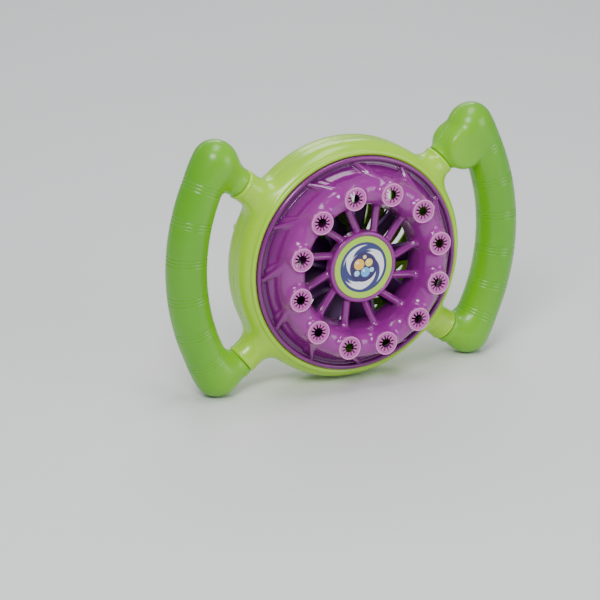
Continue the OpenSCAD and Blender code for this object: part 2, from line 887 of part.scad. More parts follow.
module link_lead() {
    color([0.12, 0.12, 0.13]) upright() wire(concat(
        link_half,
        [for (k = [0 : 8]) at(-arm_angle - k * (180 - 2 * arm_angle) / 8, link_r, link_z)],
        [for (i = [len(link_half) - 1 : -1 : 0]) [-link_half[i][0], link_half[i][1], link_half[i][2]]]
    ));
}

rear_cover();
front_ring();
nozzle_disc();
nozzle_tips();
hub_badge();
fan_impeller();
motor_shaft();
motor_can();
motor_end_cap();
motor_terminals();
motor_capacitor();
motor_clamp();
motor_screws();
cover_screws();
disc_screws();
left_handle_front();
left_handle_rear();
right_handle_front();
right_handle_rear();
left_battery_door();
right_battery_door();
left_door_screw();
right_door_screw();
battery_cells();
cell_springs();
cell_contacts();
power_button();
button_spring();
switch_body();
switch_plunger();
switch_board();
switch_screws();
handle_screws();
battery_lead();
motor_lead();
switch_lead();
link_lead();
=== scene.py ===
"""Looks of the steering-wheel bubble machine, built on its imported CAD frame."""

import math

import bpy
import numpy as np
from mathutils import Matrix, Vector


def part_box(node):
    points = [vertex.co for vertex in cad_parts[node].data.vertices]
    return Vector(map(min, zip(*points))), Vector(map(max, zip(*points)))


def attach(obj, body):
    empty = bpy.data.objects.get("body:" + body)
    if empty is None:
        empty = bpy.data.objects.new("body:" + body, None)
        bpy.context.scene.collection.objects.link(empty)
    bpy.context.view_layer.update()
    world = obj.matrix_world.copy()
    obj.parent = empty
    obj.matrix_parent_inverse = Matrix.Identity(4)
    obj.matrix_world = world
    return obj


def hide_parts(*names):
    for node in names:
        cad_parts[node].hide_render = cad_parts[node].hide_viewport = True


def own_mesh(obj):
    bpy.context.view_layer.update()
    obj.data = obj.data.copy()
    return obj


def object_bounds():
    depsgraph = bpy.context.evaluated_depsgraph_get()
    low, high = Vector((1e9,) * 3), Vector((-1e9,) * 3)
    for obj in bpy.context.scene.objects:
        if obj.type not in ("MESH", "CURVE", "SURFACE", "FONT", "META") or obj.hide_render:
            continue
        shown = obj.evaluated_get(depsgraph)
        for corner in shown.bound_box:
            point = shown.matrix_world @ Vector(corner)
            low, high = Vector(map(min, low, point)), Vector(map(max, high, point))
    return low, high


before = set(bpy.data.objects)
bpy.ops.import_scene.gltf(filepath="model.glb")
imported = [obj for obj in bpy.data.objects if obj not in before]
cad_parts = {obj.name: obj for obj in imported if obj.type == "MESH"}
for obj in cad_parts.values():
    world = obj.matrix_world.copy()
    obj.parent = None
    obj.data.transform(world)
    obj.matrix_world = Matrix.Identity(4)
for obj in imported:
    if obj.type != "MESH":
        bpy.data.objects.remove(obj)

cad_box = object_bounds()

# ---------------------------------------------------------------------------
# Sizes in millimetres, in the working frame of the CAD source: x right, y up,
# z forward from the flat rear face. A working point (x, y, z) is (x, -z, y) in
# the row frame.
# ---------------------------------------------------------------------------
MM = 0.001
# how far inside the CAD box every new piece is kept, in metres
BOX_MARGIN = 2e-6

RING_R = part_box("rear_cover")[1].z / MM
RING_H = -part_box("front_ring")[0].y / MM
SPLIT_Z = RING_H / 2
EDGE_R = 12.0
WALL = 2.2
DISC_R = 70.0
BEZEL_R = 70.3
LEDGE_Z = RING_H - 5
DISC_Z = LEDGE_Z + 2

NOZZLE_N = 12
NOZZLE_STEP = math.radians(360 / NOZZLE_N)
NOZZLE_PHASE = math.radians(12.9)
PITCH_R = 50.4
NOZZLE_R = 7.6
FACE_Z = -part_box("nozzle_tips")[0].y / MM
TIP_T = 1.6
BAND_R = 8.8
BAND_Z = DISC_Z + 11
FLANGE_Z = DISC_Z + 2
GROOVE_R = DISC_R - 4.4
HUB_R = 23.2
HUB_Z = BAND_Z + 1.5
BADGE_R = 20.3

ARM_ANGLE = math.radians(38.5)
COLLAR_R = 10.0
COLLAR_END = 94.0
SWITCH_COLLAR_END = 88.0
COLLAR_BORE_R = 8.0

GRIP_ARC_R = 133.9
GRIP_CX = 110.6 - GRIP_ARC_R
GRIP_RISE = 5.0
GRIP_R = 13.1
BULB_R = 14.0
GRIP_HALF = math.radians(31.5)
BULB_X = GRIP_CX + GRIP_ARC_R * math.cos(GRIP_HALF)
BULB_DY = GRIP_ARC_R * math.sin(GRIP_HALF)
SHELL_T = 2.0
POD = (82.0, 62.0)
POD_R = 14.0
POD_EDGE = 5.0
BUTTON_HOLE_R = 7.15
DOOR_A0 = math.radians(-28)
DOOR_A1 = math.radians(23)
DOOR_Z = SPLIT_Z - 7
DOOR_SCREW_A = math.radians(-25.7)
DOOR_SCREW = (
    GRIP_CX + GRIP_ARC_R * math.cos(DOOR_SCREW_A), GRIP_RISE + GRIP_ARC_R * math.sin(DOOR_SCREW_A)
)

# ---------------------------------------------------------------------------
# Distance fields. Each takes coordinate arrays in the working frame and gives
# the signed distance to a surface, in millimetres.
# ---------------------------------------------------------------------------


def smooth_min(a, b, k):
    """Union of two fields with a fillet about k wide."""
    h = np.maximum(k - np.abs(a - b), 0) / k
    return np.minimum(a, b) - h * h * k / 4


def smooth_max(a, b, k):
    """Intersection of two fields with the edge rounded about k wide."""
    return -smooth_min(-a, -b, k)


def smooth_step(x, lo, hi):
    t = np.clip((x - lo) / (hi - lo), 0, 1)
    return t * t * (3 - 2 * t)


def rounded_rect(u, v, u_mid, v_mid, u_half, v_half, r):
    """Rectangle with round corners in any two coordinates."""
    qu = np.abs(u - u_mid) - (u_half - r)
    qv = np.abs(v - v_mid) - (v_half - r)
    return np.hypot(np.maximum(qu, 0), np.maximum(qv, 0)) + np.minimum(np.maximum(qu, qv), 0) - r


def upright_cylinder(x, y, z, cx, cy, r, z0, z1, edge=0.0):
    """Cylinder along z, with rounded ends."""
    return rounded_rect(np.hypot(x - cx, y - cy), z, 0, (z0 + z1) / 2, r, (z1 - z0) / 2, edge)


def capsule(x, y, z, p, q, r0, r1):
    """Round bar from p to q whose radius runs from r0 to r1."""
    d = np.subtract(q, p)
    t = ((x - p[0]) * d[0] + (y - p[1]) * d[1] + (z - p[2]) * d[2]) / np.dot(d, d)
    t = np.clip(t, 0, 1)
    away = np.sqrt(
        (x - p[0] - t * d[0]) ** 2 + (y - p[1] - t * d[1]) ** 2 + (z - p[2] - t * d[2]) ** 2
    )
    return away - (r0 + t * (r1 - r0))


def arm_coordinates(x, y, sign_y):
    """Distance along an arm's axis from the fan's axis, and sideways from it."""
    c, s = math.cos(ARM_ANGLE), math.sin(ARM_ANGLE) * sign_y
    return x * c + y * s, -x * s + y * c


def arm_tube(x, y, z, sign_y, r, start, end, edge):
    """Cylinder along an arm's axis between two distances from the fan's axis."""
    along, aside = arm_coordinates(x, y, sign_y)
    away = np.hypot(aside, z - SPLIT_Z)
    return rounded_rect(away, along, 0, (start + end) / 2, r, (end - start) / 2, edge)


# ---------------------------------------------------------------------------
# Mesh from a field
# ---------------------------------------------------------------------------
CORNERS = [(i, j, k) for i in (0, 1) for j in (0, 1) for k in (0, 1)]
CELL_EDGES = [
    (a, b) for a in CORNERS for b in CORNERS
    if sum(b) == sum(a) + 1 and sum(abs(p - q) for p, q in zip(a, b)) == 1
]


def surface_net(field, lo, hi, step):
    """Vertices (mm) and quads of the field's zero surface, on a grid of the given step."""
    lo = np.array(lo, float)
    counts = [int(math.ceil((h - l) / step)) + 1 for l, h in zip(lo, hi)]
    axes = [(lo[i] + step * np.arange(counts[i])).astype(np.float32) for i in range(3)]
    x, y, z = np.meshgrid(*axes, indexing="ij", sparse=True)
    value = np.broadcast_to(field(x, y, z), counts).astype(np.float32)
    inside = value < 0
    cells = [n - 1 for n in counts]

    def corner(a, of):
        return of[a[0]:a[0] + cells[0], a[1]:a[1] + cells[1], a[2]:a[2] + cells[2]]

    total = sum(corner(a, inside).astype(np.int8) for a in CORNERS)
    active = np.argwhere((total > 0) & (total < 8))
    index = np.full(cells, -1, np.int32)
    index[tuple(active.T)] = np.arange(len(active))
    place = np.zeros((len(active), 3))
    hits = np.zeros(len(active))
    for a, b in CELL_EDGES:
        va = value[tuple((active + a).T)].astype(float)
        vb = value[tuple((active + b).T)].astype(float)
        cross = (va < 0) != (vb < 0)
        t = np.where(cross, va / np.where(cross, va - vb, 1), 0)
        place += np.where(cross[:, None], np.array(a) + t[:, None] * np.subtract(b, a), 0)
        hits += cross
    points = lo + step * (active + place / hits[:, None])
    quads = []
    for axis in range(3):
        u, v = (axis + 1) % 3, (axis + 2) % 3
        head = [slice(None)] * 3
        tail = [slice(None)] * 3
        head[axis], tail[axis] = slice(0, -1), slice(1, None)
        first, second = inside[tuple(head)], inside[tuple(tail)]
        at = np.argwhere(first != second)
        at = at[(at[:, u] > 0) & (at[:, v] > 0) & (at[:, u] < cells[u]) & (at[:, v] < cells[v])]
        ring = []
        for du, dv in ((-1, -1), (0, -1), (0, 0), (-1, 0)):
            c = at.copy()
            c[:, u] += du
            c[:, v] += dv
            ring.append(index[tuple(c.T)])
        ring = np.array(ring).T
        flip = ~first[tuple(at.T)]
        ring[flip] = ring[flip][:, ::-1]
        quads.append(ring)
    return settle(points, field, step), np.concatenate(quads)


def settle(points, field, step):
    """Moves points onto the field's surface, along its gradient."""
    h = step * 0.25
    for _ in range(2):
        x, y, z = points.T
        f = field(x, y, z)
        g = np.stack([
            field(x + h, y, z) - field(x - h, y, z),
            field(x, y + h, z) - field(x, y - h, z),
            field(x, y, z + h) - field(x, y, z - h),
        ], 1) / (2 * h)
        size = np.maximum((g * g).sum(1), 0.25)
        move = -(f / size)[:, None] * g
        length = np.linalg.norm(move, axis=1)
        points = points + move * np.minimum(1, 0.4 * step / np.maximum(length, 1e-9))[:, None]
    return points


def make_piece(name, points, faces, material, body, mirror=False):
    """Object from working-frame points in mm, riding on a body."""
    points = np.array(points, float)
    faces = [list(face) for face in faces] if isinstance(faces, list) else faces.tolist()
    if mirror:
        points = points * (-1, 1, 1)
        faces = [face[::-1] for face in faces]
    row = np.stack([points[:, 0], -points[:, 2], points[:, 1]], 1) * MM
    row = np.clip(row, np.array(cad_box[0]) + BOX_MARGIN, np.array(cad_box[1]) - BOX_MARGIN)
    mesh = bpy.data.meshes.new(name)
    mesh.from_pydata(row.tolist(), [], faces)
    mesh.validate()
    mesh.polygons.foreach_set("use_smooth", [True] * len(mesh.polygons))
    mesh.materials.append(material)
    piece = bpy.data.objects.new(name, mesh)
    bpy.context.scene.collection.objects.link(piece)
    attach(piece, body)
    return piece


# ---------------------------------------------------------------------------
# Materials
# ---------------------------------------------------------------------------


class Nodes:
    """Short hand for building a node material."""

    def __init__(self, name):
        self.material = bpy.data.materials.new(name)
        self.material.use_nodes = True
        self.tree = self.material.node_tree
        self.shader = self.tree.nodes["Principled BSDF"]

    def add(self, kind, **inputs):
        node = self.tree.nodes.new(kind)
        for key, value in inputs.items():
            self.set(node, key, value)
        return node

    def set(self, node, key, value):
        by_place = key[0] == "i" and key[1:].isdigit()
        socket = node.inputs[int(key[1:]) if by_place else key]
        if isinstance(value, bpy.types.NodeSocket):
            self.tree.links.new(value, socket)
        else:
            socket.default_value = value

    def math(self, operation, a, b=0.0, c=0.0):
        node = self.add("ShaderNodeMath", i0=a, i1=b, i2=c)
        node.operation = operation
        return node.outputs[0]

    def mix(self, factor, a, b):
        node = self.tree.nodes.new("ShaderNodeMix")
        node.data_type = "RGBA"
        for socket, value in ((node.inputs[0], factor), (node.inputs[6], a), (node.inputs[7], b)):
            if isinstance(value, bpy.types.NodeSocket):
                self.tree.links.new(value, socket)
            else:
                socket.default_value = value
        return node.outputs[2]

    def ramp(self, factor, stops, smooth=False):
        node = self.add("ShaderNodeValToRGB", Fac=factor)
        elements = node.color_ramp.elements
        node.color_ramp.interpolation = "EASE" if smooth else "LINEAR"
        while len(elements) < len(stops):
            elements.new(0.5)
        for element, (place, colour) in zip(elements, stops):
            element.position = place
            element.color = colour
        return node.outputs["Color"]

    def coordinates(self):
        """Object coordinates split into x, y, z, in metres."""
        place = self.add("ShaderNodeTexCoord").outputs["Object"]
        return place, self.add("ShaderNodeSeparateXYZ", Vector=place).outputs


def rgb(r, g, b):
    return (r, g, b, 1.0)


def scaled(colour, k):
    return (colour[0] * k, colour[1] * k, colour[2] * k, 1.0)


def moulded_plastic(name, colour, roughness=0.2, coat=0.3, shade=None, texture_mm=0.9, bump=0.12,
                    glow=0.0):
    """Glossy moulded plastic: faint mottle in the colour, orange-peel bump, rubbed edges, and
    painted light and shade in the base colour when a shade function is given.
    """
    n = Nodes(name)
    place, axes = n.coordinates()
    # painted light and shade in the base colour, where a shade function is given
    base = shade(n, axes) if shade else colour
    cloud = n.add("ShaderNodeTexNoise", Vector=place, Scale=38.0, Detail=3.0).outputs["Fac"]
    cloudy = n.mix(n.math("MULTIPLY", cloud, 0.10), base, scaled(colour, 0.72))
    edge = n.add("ShaderNodeNewGeometry").outputs["Pointiness"]
    worn = n.ramp(edge, [(0.505, rgb(0, 0, 0)), (0.56, rgb(1, 1, 1))])
    worn_share = n.math("MULTIPLY", worn, 0.22)
    light = tuple(min(1.0, c * 1.35 + 0.06) for c in colour[:3]) + (1.0,)
    n.set(n.shader, "Base Color", n.mix(worn_share, cloudy, light))
    grain = n.add("ShaderNodeTexNoise", Vector=place, Scale=1 / (texture_mm * MM), Detail=2.0)
    smear = n.add("ShaderNodeTexNoise", Vector=place, Scale=22.0, Detail=4.0).outputs["Fac"]
    rough = n.math("MULTIPLY_ADD", smear, 0.12, roughness - 0.05)
    n.set(n.shader, "Roughness", rough)
    bumped = n.add("ShaderNodeBump", Strength=bump, Distance=0.0002, Height=grain.outputs["Fac"])
    n.set(n.shader, "Normal", bumped.outputs["Normal"])
    n.set(n.shader, "Coat Weight", coat)
    n.set(n.shader, "Coat Roughness", 0.08)
    if glow:
        n.set(n.shader, "Subsurface Weight", glow)
        n.set(n.shader, "Subsurface Radius", (0.004, 0.004, 0.002))
        n.set(n.shader, "Subsurface Scale", 0.6)
    return n.material


def metal(name, colour, roughness, brushed_mm=0.25):
    """Plated or drawn metal with fine streaks."""
    n = Nodes(name)
    place, _ = n.coordinates()
    streak = n.add("ShaderNodeTexNoise", Vector=place, Scale=1 / (brushed_mm * MM), Detail=3.0)
    tint = n.mix(streak.outputs["Fac"], scaled(colour, 0.82), colour)
    n.set(n.shader, "Base Color", tint)
    n.set(n.shader, "Metallic", 1.0)
    n.set(n.shader, "Roughness", n.math("MULTIPLY_ADD", streak.outputs["Fac"], 0.16, roughness))
    bumped = n.add("ShaderNodeBump", Strength=0.15, Distance=0.0001, Height=streak.outputs["Fac"])
    n.set(n.shader, "Normal", bumped.outputs["Normal"])
    return n.material


LIME = rgb(0.37, 0.68, 0.018)
GRASS = rgb(0.105, 0.385, 0.003)
PURPLE = rgb(0.255, 0.012, 0.235)
# painted shade: near-black purple for the disc's deepest recesses
PURPLE_PAINTED_SHADE = rgb(0.060, 0.002, 0.075)
PINK = rgb(0.62, 0.13, 0.46)
MAGENTA = rgb(0.36, 0.02, 0.26)


def handle_painted_light(n, axes):
    """Painted light and shade: light lime by the ring, going over to grass green along the arms, as
    the light falls on the handle.
    """
    out = n.math("ABSOLUTE", axes["X"])
    near = n.add("ShaderNodeMapRange", Value=out)
    n.set(near, "From Min", 0.074)
    n.set(near, "From Max", 0.108)
    return n.mix(near.outputs["Result"], rgb(0.20, 0.53, 0.006), GRASS)


def disc_painted_shade(n, axes):
    """Purple with painted shade, deeper in the recesses behind the crown, and painted light, paler
    on the nozzles.
    """
    # darker towards the rear as painted shade, paler towards the front as painted light
    depth = n.math("MULTIPLY", axes["Y"], -1000.0)
    return n.ramp(
        n.math("DIVIDE", n.math("SUBTRACT", depth, 30.0), 24.0),
        [
            (0.0, PURPLE_PAINTED_SHADE), (0.30, scaled(PURPLE, 0.80)), (0.62, PURPLE),
            (1.0, rgb(0.33, 0.030, 0.30)),
        ],
    )


def tip_painted_light(n, axes):
    """Pink with painted light on the raised rim of a nozzle face and painted shade on its sunken
    floor.
    """
    height = n.math("MULTIPLY_ADD", axes["Y"], -1 / MM, 0.5 - FACE_Z)
    return n.ramp(
        n.math("MULTIPLY", height, 2.0),
        [(0.25, rgb(0.50, 0.10, 0.40)), (0.90, rgb(0.74, 0.27, 0.60))],
    )


def badge_material():
    """Printed label: lime ring, slate ring, white swirl and an indigo centre with bubbles."""
    n = Nodes("badge_print")
    place, axes = n.coordinates()
    u = n.math("MULTIPLY", axes["X"], 1 / MM)
    v = n.math("MULTIPLY", axes["Z"], 1 / MM)
    r = n.math("SQRT", n.math("ADD", n.math("MULTIPLY", u, u), n.math("MULTIPLY", v, v)))
    turn = n.math("ARCTAN2", v, u)
    swirl = n.math("SINE", n.math("MULTIPLY_ADD", r, 0.55, n.math("MULTIPLY", turn, 3.0)))
    fine = n.math("SINE", n.math("MULTIPLY_ADD", r, 1.7, n.math("MULTIPLY", turn, 5.0)))

    def above(value, edge, soft=0.12):
        node = n.add("ShaderNodeMapRange", Value=value)
        node.interpolation_type = "SMOOTHSTEP"
        n.set(node, "From Min", edge - soft)
        n.set(node, "From Max", edge + soft)
        return node.outputs["Result"]

    indigo = rgb(0.020, 0.004, 0.11)
    slate = rgb(0.022, 0.035, 0.17)
    white = rgb(0.86, 0.87, 0.92)
    lime = rgb(0.40, 0.70, 0.03)
    colour = n.mix(above(r, 10.2), indigo, slate)
    band = n.math("MULTIPLY", above(r, 9.6), n.math("SUBTRACT", 1.0, above(r, 14.6)))
    waves = n.math("ADD", swirl, n.math("MULTIPLY", fine, 0.5))
    stroke = n.math("MULTIPLY", band, above(waves, -0.25, 0.2))
    colour = n.mix(stroke, colour, white)
    for cx, cy, cr, tint in (
        (-3.0, 2.2, 3.6, rgb(0.95, 0.55, 0.04)), (3.9, 2.6, 2.6, rgb(0.90, 0.70, 0.08)),
        (1.4, -3.4, 3.2, rgb(0.10, 0.45, 0.85)), (-4.6, -3.6, 1.9, rgb(0.35, 0.70, 0.95)),
        (5.9, -2.4, 1.6, rgb(0.35, 0.70, 0.95)), (0.9, 6.6, 1.3, rgb(0.95, 0.75, 0.2)),
    ):
        du = n.math("SUBTRACT", u, cx)
        dv = n.math("SUBTRACT", v, cy)
        away = n.math("SQRT", n.math("ADD", n.math("MULTIPLY", du, du), n.math("MULTIPLY", dv, dv)))
        colour = n.mix(n.math("SUBTRACT", 1.0, above(away, cr)), colour, tint)
        gleam = n.math("SQRT", n.math(
            "ADD",
            n.math("POWER", n.math("ADD", du, cr * 0.35), 2.0),
            n.math("POWER", n.math("SUBTRACT", dv, cr * 0.35), 2.0),
        ))
        colour = n.mix(n.math("SUBTRACT", 1.0, above(gleam, cr * 0.28)), colour, white)
    colour = n.mix(above(r, 15.9), colour, scaled(indigo, 1.4))
    colour = n.mix(above(r, 16.4), colour, lime)
    speck = n.add("ShaderNodeTexNoise", Vector=place, Scale=1500.0, Detail=1.0).outputs["Fac"]
    n.set(n.shader, "Base Color", n.mix(n.math("MULTIPLY", speck, 0.02), colour, white))
    n.set(n.shader, "Roughness", n.math("MULTIPLY_ADD", speck, 0.06, 0.26))
    n.set(n.shader, "Coat Weight", 0.15)
    n.set(n.shader, "Coat Roughness", 0.05)
    return n.material


MATERIALS = {
    "lime": moulded_plastic("plastic_lime", LIME, roughness=0.24, coat=0.22, glow=0.05),
    # grip colour carries painted light and shade along the handles
    "grip": moulded_plastic(
        "plastic_grip", GRASS, roughness=0.30, coat=0.15, shade=handle_painted_light, glow=0.04
    ),
    # disc colour carries painted shade in its recesses and painted light on the nozzles
    "disc": moulded_plastic(
        "plastic_purple", PURPLE, roughness=0.17, coat=0.40, shade=disc_painted_shade, glow=0.04
    ),
    # nozzle-face colour carries painted light on the rims and painted shade on the floors
    "tip": moulded_plastic("plastic_pink", PINK, roughness=0.34, coat=0.15, shade=tip_painted_light),
    "button": moulded_plastic("plastic_magenta", MAGENTA, roughness=0.18, coat=0.5),
    "fan": moulded_plastic("plastic_fan", rgb(0.06, 0.006, 0.09), roughness=0.3, coat=0.2),
    "white": moulded_plastic("plastic_white", rgb(0.80, 0.80, 0.76), roughness=0.4, coat=0.0),
    "black": moulded_plastic("plastic_black", rgb(0.02, 0.02, 0.022), roughness=0.4, coat=0.0),
    "board": moulded_plastic("board_green", rgb(0.01, 0.12, 0.04), roughness=0.3, coat=0.3),
    "cell": moulded_plastic("cell_sleeve", rgb(0.025, 0.028, 0.04), roughness=0.25, coat=0.4),
    "red": moulded_plastic("wire_red", rgb(0.55, 0.012, 0.012), roughness=0.4, coat=0.0),
    "tan": moulded_plastic("capacitor_tan", rgb(0.62, 0.26, 0.05), roughness=0.4, coat=0.0),
    "steel": metal("metal_steel", rgb(0.62, 0.63, 0.65), 0.25),
    "zinc": metal("metal_zinc", rgb(0.70, 0.71, 0.74), 0.22),
    "nickel": metal("metal_nickel", rgb(0.78, 0.74, 0.64), 0.20),
    "brass": metal("metal_brass", rgb(0.78, 0.55, 0.20), 0.22),
    "badge": badge_material(),
}

NODE_MATERIALS = {
    "rear_cover": "lime", "front_ring": "lime", "nozzle_disc": "disc", "nozzle_tips": "tip",
    "hub_badge": "badge", "fan_impeller": "fan", "motor_shaft": "steel", "motor_can": "steel",
    "motor_end_cap": "white", "motor_terminals": "brass", "motor_capacitor": "tan",
    "motor_clamp": "black", "motor_screws": "zinc", "cover_screws": "zinc", "disc_screws": "zinc",
    "left_handle_front": "grip", "left_handle_rear": "grip", "right_handle_front": "grip",
    "right_handle_rear": "grip", "left_battery_door": "grip", "right_battery_door": "grip",
    "left_door_screw": "zinc", "right_door_screw": "zinc", "battery_cells": "cell",
    "cell_springs": "nickel", "cell_contacts": "nickel", "power_button": "button",
    "button_spring": "nickel", "switch_body": "black", "switch_plunger": "white",
    "switch_board": "board", "switch_screws": "zinc", "handle_screws": "zinc",
    "battery_lead": "red", "motor_lead": "black", "switch_lead": "red", "link_lead": "black",
}


def dress_cad_nodes():
    """Gives every CAD node its material."""
    for name, kind in NODE_MATERIALS.items():
        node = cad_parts[name]
        node.data.materials.clear()
        node.data.materials.append(MATERIALS[kind])


# ---------------------------------------------------------------------------
# Stage, light and camera
# ---------------------------------------------------------------------------
VIEW_AZIMUTH = math.radians(-28.0)
VIEW_ELEVATION = math.radians(18.5)
LENS_MM = 240.0
SENSOR_MM = 36.0
# half the rim's height, and the rim's centre right of and above the middle, as shares of the
# picture's width
RIM_SHARE = 0.178
RIM_CENTRE = (0.094, 0.062)


def view_axes(azimuth, elevation):
    """Unit vectors towards the camera, to its right and up."""
    a, e = azimuth, elevation
    back = Vector((math.sin(a) * math.cos(e), -math.cos(a) * math.cos(e), math.sin(e)))
    right = Vector((math.cos(a), math.sin(a), 0))
    return back, right, back.cross(right)


def make_camera():
    """Long lens from the front left and above; the rim lies right of and above the middle."""
    back, right, up = view_axes(VIEW_AZIMUTH, VIEW_ELEVATION)
    focal = LENS_MM / SENSOR_MM
    rim_half = DISC_R * MM * math.hypot(up.x, up.z)
    distance = focal * rim_half / RIM_SHARE
    rim_centre = Vector((0, -RING_H * MM, 0))
    position = rim_centre + back * distance
    aim = -back - right * (RIM_CENTRE[0] / focal) - up * (RIM_CENTRE[1] / focal)
    data = bpy.data.cameras.new("camera")
    data.lens = LENS_MM
    data.sensor_width = SENSOR_MM
    data.clip_start = 0.05
    data.clip_end = 50
    camera = bpy.data.objects.new("camera", data)
    bpy.context.scene.collection.objects.link(camera)
    camera.location = position
    camera.rotation_mode = "QUATERNION"
    camera.rotation_quaternion = aim.to_track_quat("-Z", "Y")
    bpy.context.scene.camera = camera


def area_light(name, place, target, size, power, colour=(1, 1, 1)):
    data = bpy.data.lights.new(name, "AREA")
    data.shape = "RECTANGLE"
    data.size, data.size_y = size
    data.energy = power
    data.color = colour
    light = bpy.data.objects.new(name, data)
    bpy.context.scene.collection.objects.link(light)
    light.location = place
    light.rotation_mode = "QUATERNION"
    light.rotation_quaternion = (Vector(target) - Vector(place)).to_track_quat("-Z", "Y")


def make_stage():
    """Pale floor under the toy, soft lights and a pale sky."""
    floor_z = cad_box[0].z
    half = 4.0
    mesh = bpy.data.meshes.new("floor")
    mesh.from_pydata(
        [(x * half, y * half, floor_z) for x, y in ((-1, -1), (1, -1), (1, 1), (-1, 1))],
        [], [(0, 1, 2, 3)],
    )
    n = Nodes("floor_pale")
    place, _ = n.coordinates()
    cloud = n.add("ShaderNodeTexNoise", Vector=place, Scale=3.0, Detail=3.0).outputs["Fac"]
    n.set(n.shader, "Base Color", n.mix(cloud, rgb(0.78, 0.79, 0.80), rgb(0.82, 0.82, 0.82)))
    n.set(n.shader, "Roughness", 0.6)
    mesh.materials.append(n.material)
    floor = bpy.data.objects.new("floor", mesh)
    bpy.context.scene.collection.objects.link(floor)
    middle = (0, -0.02, 0)
    area_light("key", (-0.75, -1.0, 1.15), middle, (0.55, 0.55), 17)
    area_light("fill", (1.1, -1.3, 0.5), middle, (0.9, 0.9), 9, (0.97, 0.98, 1.0))
    area_light("top", (0.1, -0.1, 1.4), middle, (0.9, 0.5), 9)
    area_light("back", (0.5, 1.2, 0.9), middle, (0.8, 0.5), 5)
    world = bpy.data.worlds.new("studio")
    world.use_nodes = True
    world.node_tree.nodes["Background"].inputs["Color"].default_value = rgb(0.93, 0.96, 1.0)
    world.node_tree.nodes["Background"].inputs["Strength"].default_value = 0.42
    bpy.context.scene.world = world


# ---------------------------------------------------------------------------
# Handles
# ---------------------------------------------------------------------------
GROOVE_GROUPS = [-25.5, -16.5, -6.5, 4.0, 14.0, 24.0]
GROOVE_PITCH = 2.1
GROOVE_WIDTH = 0.7
GROOVE_DEPTH = 0.4


def grip_tube(x, y, z, inset=0.0):
    """Curved grip whose ends swell to the bulbs."""
    u, v = x - GRIP_CX, y - GRIP_RISE
    turn = np.clip(np.arctan2(v, u), -GRIP_HALF, GRIP_HALF)
    away = np.sqrt(
        (u - GRIP_ARC_R * np.cos(turn)) ** 2 + (v - GRIP_ARC_R * np.sin(turn)) ** 2
        + (z - SPLIT_Z) ** 2
    )
    swell = (BULB_R - GRIP_R) * smooth_step(np.abs(turn), GRIP_HALF * 0.70, GRIP_HALF)
    return away - (GRIP_R + swell - 0.05 - inset)


def grooves(x, y):
    """Depth of the fine moulded lines that run round the grip, in groups of three."""
    turn = np.arctan2(y - GRIP_RISE, x - GRIP_CX)
    depth = 0.0
    for group in GROOVE_GROUPS:
        for k in (-1, 0, 1):
            centre = math.radians(group) + k * GROOVE_PITCH / GRIP_ARC_R
            across = np.abs(turn - centre) * GRIP_ARC_R
            depth = depth + GROOVE_DEPTH * (1 - smooth_step(across, 0.1, GROOVE_WIDTH))
    return depth


def handle_outside(x, y, z, pod):
    """Outer skin of the right-hand handle."""
    body = grip_tube(x, y, z) + grooves(x, y)
    for sign in (1, -1):
        end = SWITCH_COLLAR_END if pod and sign > 0 else COLLAR_END
        bulb = (BULB_X, GRIP_RISE + sign * BULB_DY, SPLIT_Z)
        c, s = math.cos(ARM_ANGLE), math.sin(ARM_ANGLE) * sign
        start = ((end + 2.4) * c, (end + 2.4) * s, SPLIT_Z)
        gap = np.subtract(bulb, start)
        stop = tuple(np.add(start, gap * (1 - 5.0 / np.linalg.norm(gap))))
        arm = capsule(x, y, z, start, stop, 9.3, 10.6)
        along, _ = arm_coordinates(x, y, sign)
        arm = smooth_max(arm, (end + 0.4) - along, 0.8)
        arm = np.minimum(arm, arm_tube(x, y, z, sign, 9.6, end + 0.4, end + 5.0, 0.5))
        body = smooth_min(body, arm, 7.0)
        body = np.minimum(body, arm_tube(x, y, z, sign, 7.9, DISC_R + 2.6, end + 3, 0.3))
        body = np.minimum(body, arm_tube(x, y, z, sign, 9.2, DISC_R + 2.6, DISC_R + 4.6, 0.3))
    if pod:
        case = upright_cylinder(x, y, z, *POD, POD_R, SPLIT_Z - GRIP_R, SPLIT_Z + GRIP_R, POD_EDGE)
        body = smooth_min(body, case, 3.0)
    return body


def handle_inside(x, y, z, pod):
    """Hollow of the handle."""
    hollow = grip_tube(x, y, z, SHELL_T)
    for sign in (1, -1):
        bulb = (BULB_X, GRIP_RISE + sign * BULB_DY, SPLIT_Z)
        c, s = math.cos(ARM_ANGLE), math.sin(ARM_ANGLE) * sign
        bore = capsule(x, y, z, (DISC_R * c, DISC_R * s, SPLIT_Z), bulb, 4.0, 4.0)
        hollow = np.minimum(hollow, bore)
    if pod:
        z0, z1 = SPLIT_Z - GRIP_R + SHELL_T, SPLIT_Z + GRIP_R - SHELL_T
        hollow = np.minimum(
            hollow, upright_cylinder(x, y, z, *POD, POD_R - SHELL_T, z0, z1, POD_EDGE - SHELL_T)
        )
    return hollow


def door_zone(x, y, z, grown):
    """Part of the grip that the battery door fills, grown all round."""
    turn = np.arctan2(y - GRIP_RISE, x - GRIP_CX)
    ends = np.maximum(turn - DOOR_A1, DOOR_A0 - turn) * GRIP_ARC_R
    return smooth_max(ends - grown, z - DOOR_Z - grown, 1.6)


SCREW_RECESS_R = 3.3
SCREW_RECESS_Z = 10.0
DOOR_POST_Z = 9.3
SCREW_POSTS = [(BULB_X + 1, GRIP_RISE + sign * BULB_DY) for sign in (1, -1)]


